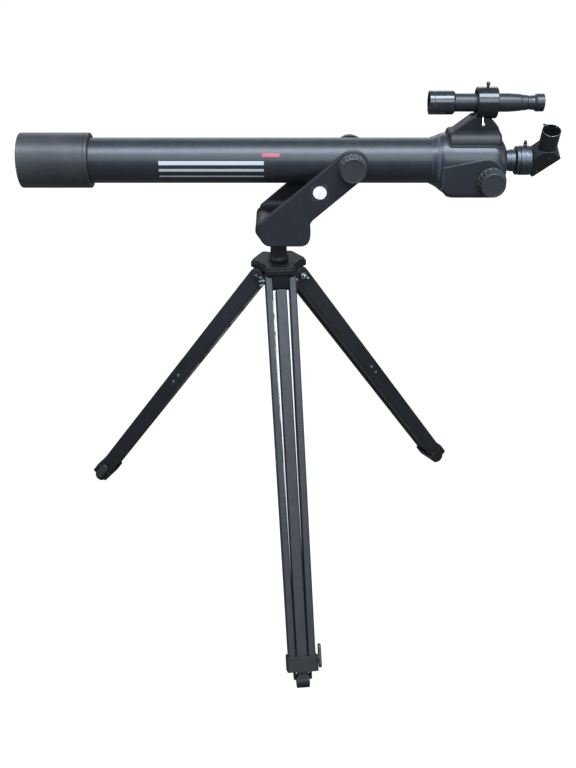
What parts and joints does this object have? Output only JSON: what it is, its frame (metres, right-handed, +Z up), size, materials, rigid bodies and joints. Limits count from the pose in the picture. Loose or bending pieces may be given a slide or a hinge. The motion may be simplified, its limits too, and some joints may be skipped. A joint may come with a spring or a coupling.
{
  "type": "spotting scope",
  "caption": "Small refracting telescope with a straight finder and star diagonal, on a fork mount and a folding tripod with telescopic legs.",
  "frame": {"origin": "on the ground, in the middle of the outline seen from above", "axes": "+Z up; the tube lies along X with its objective towards -X and its eyepiece end towards +X; +Y is across, away from the side the near knobs are on"},
  "size_m": [0.7724, 0.6166, 0.772],
  "materials": {
    "black_paint": "satin black paint",
    "gloss_black": "semi-gloss black",
    "black_plastic": "fine moulded grain",
    "knob_plastic": "satin",
    "rail_black": "satin black anodised",
    "dark_steel": "blackened",
    "bright_steel": "zinc plated",
    "brass": "machined",
    "foot_plastic": "olive black",
    "lens_glass": "coated",
    "mirror": "polished"
  },
  "bodies": {
    "tripod_head": {"tripod_hub": "black_plastic", "azimuth_bolt": "bright_steel"},
    "yoke": {"fork_yoke": "black_plastic"},
    "altitude_knob_near": {"altitude_knob_near": "knob_plastic"},
    "altitude_knob_far": {"altitude_knob_far": "knob_plastic"},
    "optical_tube": {"main_tube": "black_paint", "dew_shield": "gloss_black", "objective_cell": "black_plastic", "objective_crown": "lens_glass", "objective_flint": "lens_glass", "lens_ring": "black_plastic", "pivot_insert_near": "black_plastic", "pivot_insert_far": "black_plastic", "focuser_housing": "black_plastic", "finder_bracket": "gloss_black"},
    "focus_drive": {"pinion_shaft": "brass", "focus_knob_near": "knob_plastic", "focus_knob_far": "knob_plastic"},
    "draw": {"drawtube": "dark_steel", "focus_rack": "brass", "eyepiece_collar": "dark_steel"},
    "collar_screw": {"collar_screw": "dark_steel"},
    "diagonal": {"diagonal_nose": "dark_steel", "diagonal_housing": "black_plastic", "diagonal_mirror": "mirror", "eyepiece_holder": "black_plastic"},
    "holder_screw": {"holder_screw": "dark_steel"},
    "finder_scope": {"finder_tube": "black_paint", "finder_cell": "gloss_black", "finder_lens": "lens_glass"},
    "finder_eyepiece": {"finder_eyepiece": "gloss_black", "finder_eye_lens": "lens_glass"},
    "finder_screw_top": {"finder_screw_top": "dark_steel"},
    "finder_screw_near": {"finder_screw_near": "bright_steel"},
    "finder_screw_far": {"finder_screw_far": "bright_steel"},
    "leg_front": {"front_rail_a": "rail_black", "front_rail_b": "rail_black", "front_clamp": "foot_plastic", "front_hinge_bolt": "bright_steel"},
    "inner_leg_front": {"front_inner_rail": "rail_black", "front_foot": "foot_plastic"},
    "lock_screw_front": {"front_lock_screw": "knob_plastic"},
    "wing_nut_front": {"front_wing_nut": "bright_steel"},
    "leg_right": {"right_rail_a": "rail_black", "right_rail_b": "rail_black", "right_clamp": "foot_plastic", "right_hinge_bolt": "bright_steel"},
    "inner_leg_right": {"right_inner_rail": "rail_black", "right_foot": "foot_plastic"},
    "lock_screw_right": {"right_lock_screw": "knob_plastic"},
    "wing_nut_right": {"right_wing_nut": "bright_steel"},
    "leg_left": {"left_rail_a": "rail_black", "left_rail_b": "rail_black", "left_clamp": "foot_plastic", "left_hinge_bolt": "bright_steel"},
    "inner_leg_left": {"left_inner_rail": "rail_black", "left_foot": "foot_plastic"},
    "lock_screw_left": {"left_lock_screw": "knob_plastic"},
    "wing_nut_left": {"left_wing_nut": "bright_steel"}
  },
  "joints": [
    {"name": "azimuth_pan", "type": "hinge", "parent": "tripod_head", "child": "yoke", "pos_m": [-0.01625, 0.07273, 0.52], "axis": [0, 0, 1], "continuous": true},
    {"name": "altitude_tilt", "type": "hinge", "parent": "yoke", "child": "optical_tube", "pos_m": [0.08875, 0.07273, 0.664], "axis": [0, 1, 0], "range_deg": [-15, 70]},
    {"name": "altitude_knob_near_turn", "type": "hinge", "parent": "yoke", "child": "altitude_knob_near", "pos_m": [0.08875, 0.01774, 0.664], "axis": [0, -1, 0], "range_deg": [-180, 0]},
    {"name": "altitude_knob_far_turn", "type": "hinge", "parent": "yoke", "child": "altitude_knob_far", "pos_m": [0.08875, 0.12773, 0.664], "axis": [0, 1, 0], "range_deg": [-180, 0]},
    {"name": "focus_travel", "type": "slide", "parent": "optical_tube", "child": "draw", "axis": [1, 0, 0], "range_m": [0, 0.044]},
    {"name": "focus_knob_turn", "type": "hinge", "parent": "optical_tube", "child": "focus_drive", "pos_m": [0.28575, 0.07273, 0.643], "axis": [0, 1, 0], "range_deg": [-5, 640]},
    {"name": "collar_screw_turn", "type": "hinge", "parent": "draw", "child": "collar_screw", "pos_m": [0.33775, 0.07273, 0.681], "axis": [0, 0, 1], "range_deg": [-180, 0]},
    {"name": "diagonal_turn", "type": "hinge", "parent": "draw", "child": "diagonal", "pos_m": [0.34375, 0.07273, 0.661], "axis": [1, 0, 0], "continuous": true},
    {"name": "holder_screw_turn", "type": "hinge", "parent": "diagonal", "child": "holder_screw", "pos_m": [0.36126, 0.06595, 0.71271], "axis": [-0.3746, 0.847, 0.3771], "range_deg": [-180, 0]},
    {"name": "finder_aim", "type": "hinge", "parent": "optical_tube", "child": "finder_scope", "pos_m": [0.2765, 0.07273, 0.7435], "axis": [0, 1, 0], "range_deg": [-1.2, 1.2]},
    {"name": "finder_focus", "type": "hinge", "parent": "finder_scope", "child": "finder_eyepiece", "pos_m": [0.33875, 0.07273, 0.7435], "axis": [1, 0, 0], "range_deg": [-180, 180]},
    {"name": "finder_screw_top_turn", "type": "hinge", "parent": "optical_tube", "child": "finder_screw_top", "pos_m": [0.2765, 0.07273, 0.7655], "axis": [0, 0, 1], "range_deg": [-180, 0]},
    {"name": "finder_screw_near_turn", "type": "hinge", "parent": "optical_tube", "child": "finder_screw_near", "pos_m": [0.27075, 0.05889, 0.7264], "axis": [0, -0.6293, -0.7771], "range_deg": [-180, 0]},
    {"name": "finder_screw_far_turn", "type": "hinge", "parent": "optical_tube", "child": "finder_screw_far", "pos_m": [0.27075, 0.08658, 0.7264], "axis": [0, 0.6293, -0.7771], "range_deg": [-180, 0]},
    {"name": "leg_fold_front", "type": "hinge", "parent": "tripod_head", "child": "leg_front", "pos_m": [-0.01366, 0.04586, 0.484], "axis": [0.9954, 0.0958, 0], "range_deg": [0, 34]},
    {"name": "leg_extend_front", "type": "slide", "parent": "leg_front", "child": "inner_leg_front", "axis": [0.0564, -0.5854, -0.8088], "range_m": [0, 0.4]},
    {"name": "lock_screw_front_turn", "type": "hinge", "parent": "leg_front", "child": "lock_screw_front", "pos_m": [0.03958, -0.27759, 0.03417], "axis": [0.9954, 0.0958, 0], "range_deg": [-180, 0]},
    {"name": "wing_nut_front_turn", "type": "hinge", "parent": "leg_front", "child": "wing_nut_front", "pos_m": [-0.04054, 0.04327, 0.484], "axis": [-0.9954, -0.0958, 0], "range_deg": [-180, 0]},
    {"name": "leg_fold_right", "type": "hinge", "parent": "tripod_head", "child": "leg_right", "pos_m": [0.00573, 0.08841, 0.484], "axis": [-0.5807, 0.8141, 0], "range_deg": [0, 34]},
    {"name": "leg_extend_right", "type": "slide", "parent": "leg_right", "child": "inner_leg_right", "axis": [0.4788, 0.3415, -0.8088], "range_m": [0, 0.4]},
    {"name": "lock_screw_right_turn", "type": "hinge", "parent": "leg_right", "child": "lock_screw_right", "pos_m": [0.25922, 0.29625, 0.03417], "axis": [-0.5807, 0.8141, 0], "range_deg": [-180, 0]},
    {"name": "wing_nut_right_turn", "type": "hinge", "parent": "leg_right", "child": "wing_nut_right", "pos_m": [0.02141, 0.06643, 0.484], "axis": [0.5807, -0.8141, 0], "range_deg": [-180, 0]},
    {"name": "leg_fold_left", "type": "hinge", "parent": "tripod_head", "child": "leg_left", "pos_m": [-0.04082, 0.08393, 0.484], "axis": [-0.4147, -0.91, 0], "range_deg": [0, 34]},
    {"name": "leg_extend_left", "type": "slide", "parent": "leg_left", "child": "inner_leg_left", "axis": [-0.5351, 0.2439, -0.8088], "range_m": [0, 0.4]},
    {"name": "lock_screw_left_turn", "type": "hinge", "parent": "leg_left", "child": "lock_screw_left", "pos_m": [-0.34756, 0.19954, 0.03417], "axis": [-0.4147, -0.91, 0], "range_deg": [-180, 0]},
    {"name": "wing_nut_left_turn", "type": "hinge", "parent": "leg_left", "child": "wing_nut_left", "pos_m": [-0.02962, 0.1085, 0.484], "axis": [0.4147, 0.91, 0], "range_deg": [-180, 0]}
  ],
  "couplings": [
    {"joint": "focus_knob_turn", "follows": "focus_travel", "rad_per_m": 250}
  ]
}
